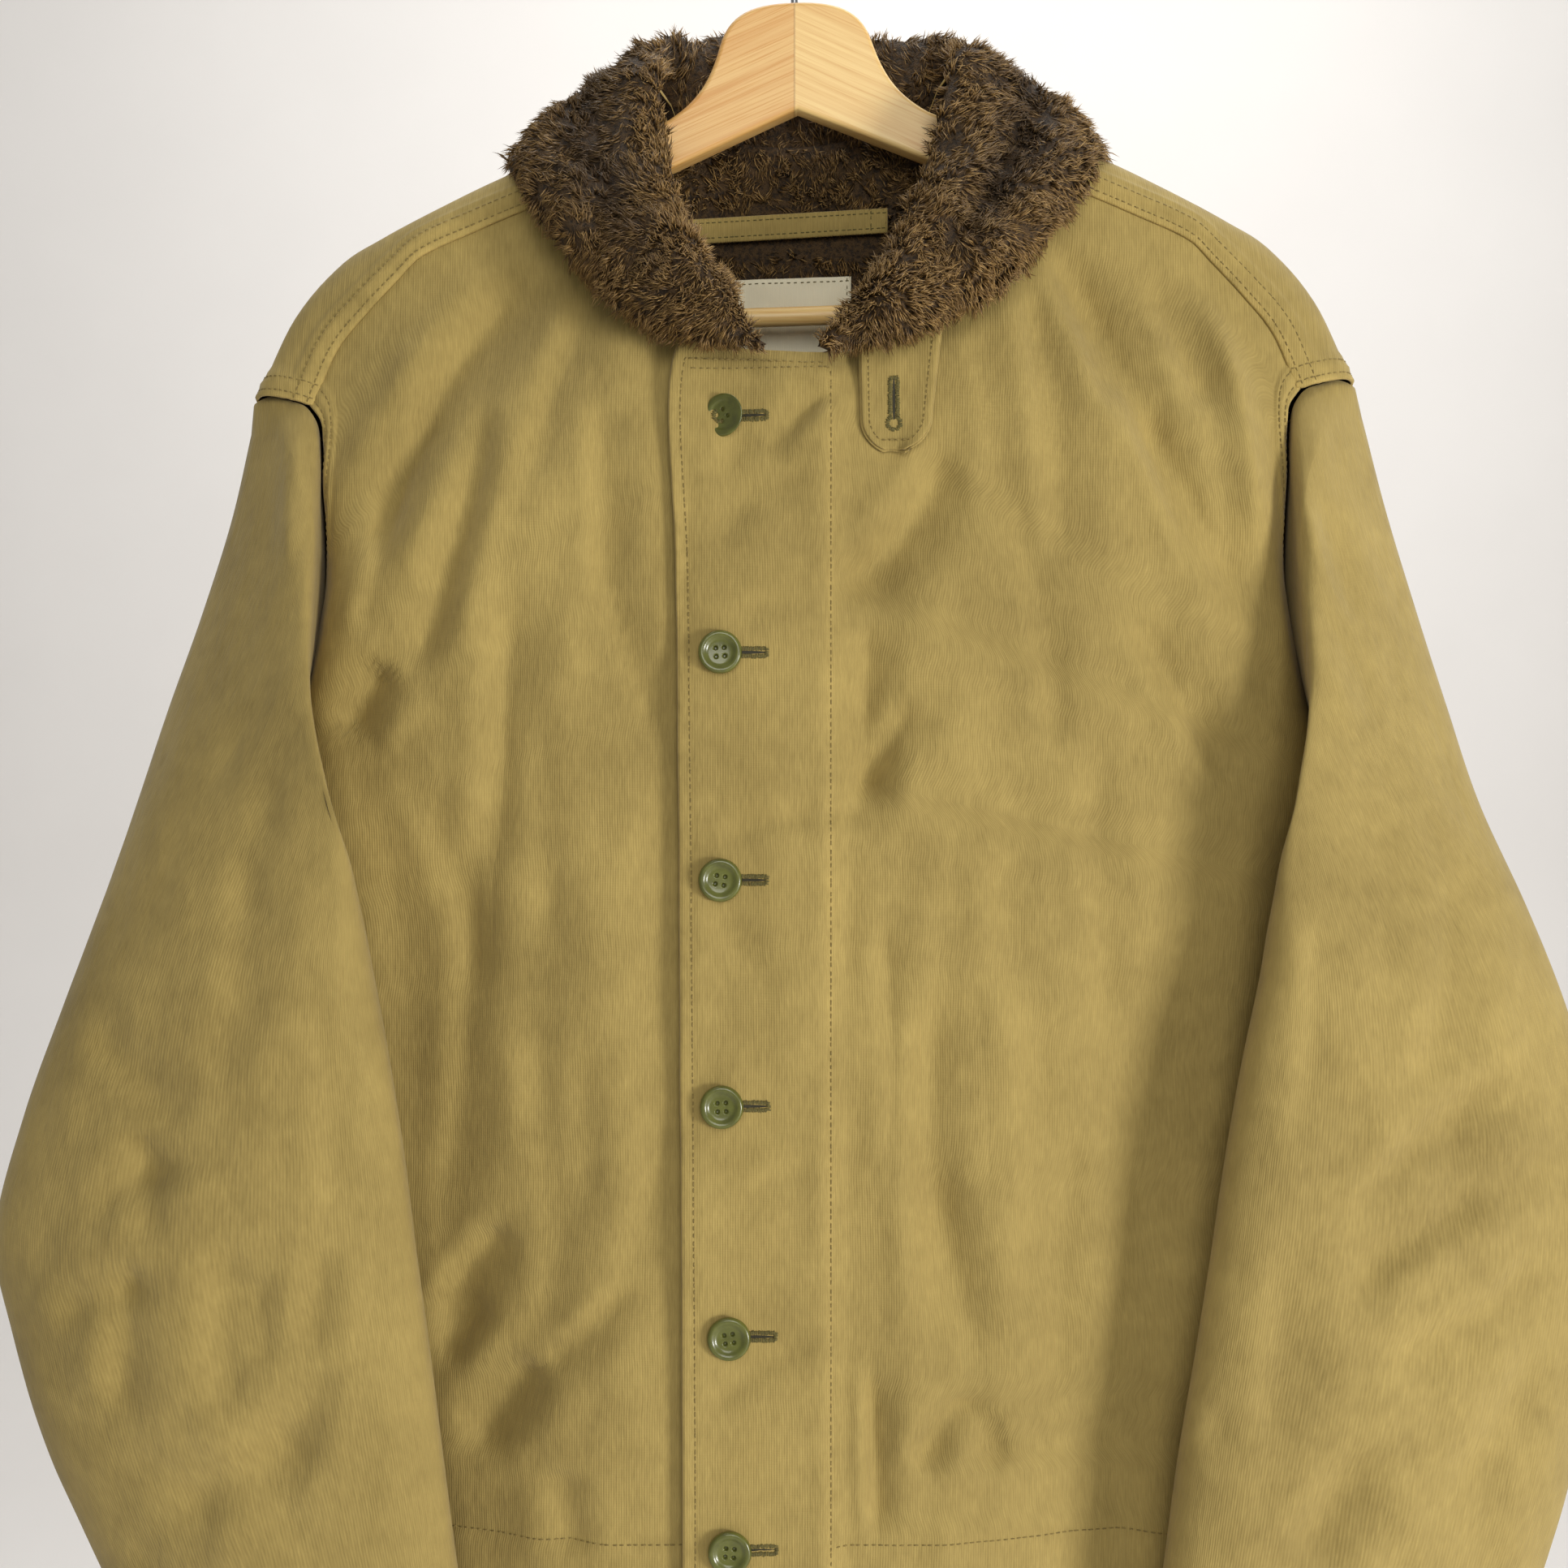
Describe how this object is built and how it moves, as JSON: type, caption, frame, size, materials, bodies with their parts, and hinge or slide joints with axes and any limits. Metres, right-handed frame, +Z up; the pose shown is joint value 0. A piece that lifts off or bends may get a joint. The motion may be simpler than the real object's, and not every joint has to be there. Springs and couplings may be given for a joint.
{
  "type": "military jacket on a hanger",
  "caption": "Cotton deck jacket with a wide pile collar and a wide button flap, buttoned up and hanging on a wooden hanger with a wire hook.",
  "frame": {"origin": "where a rail bears in the top of the hanger's wire hook", "axes": "+Z up, +Y away from the viewer, so that the jacket's front faces -Y; +X is the viewer's right, the wearer's left"},
  "size_m": [0.7634, 0.1501, 0.8717],
  "materials": {
    "cotton": "matt ribbed cotton, olive gold",
    "pile": "deep curly pile, dark brown",
    "label": "plain woven tape, off-white",
    "button": "polished resin, olive green",
    "wood": "satin varnished pale wood",
    "steel": "bright plated wire"
  },
  "bodies": {
    "root": {"back": "cotton", "front_right": "cotton", "front_left": "cotton", "sleeve_right": "cotton", "sleeve_left": "cotton", "collar": "pile", "throat_tab": "cotton", "button_1": "button", "button_2": "button", "button_3": "button", "button_4": "button", "button_5": "button", "button_6": "button", "neck_lining": "pile", "neck_label": "label", "hanger_loop": "cotton", "hanger": "wood", "trouser_bar": "wood", "hook": "steel"}
  },
  "joints": []
}
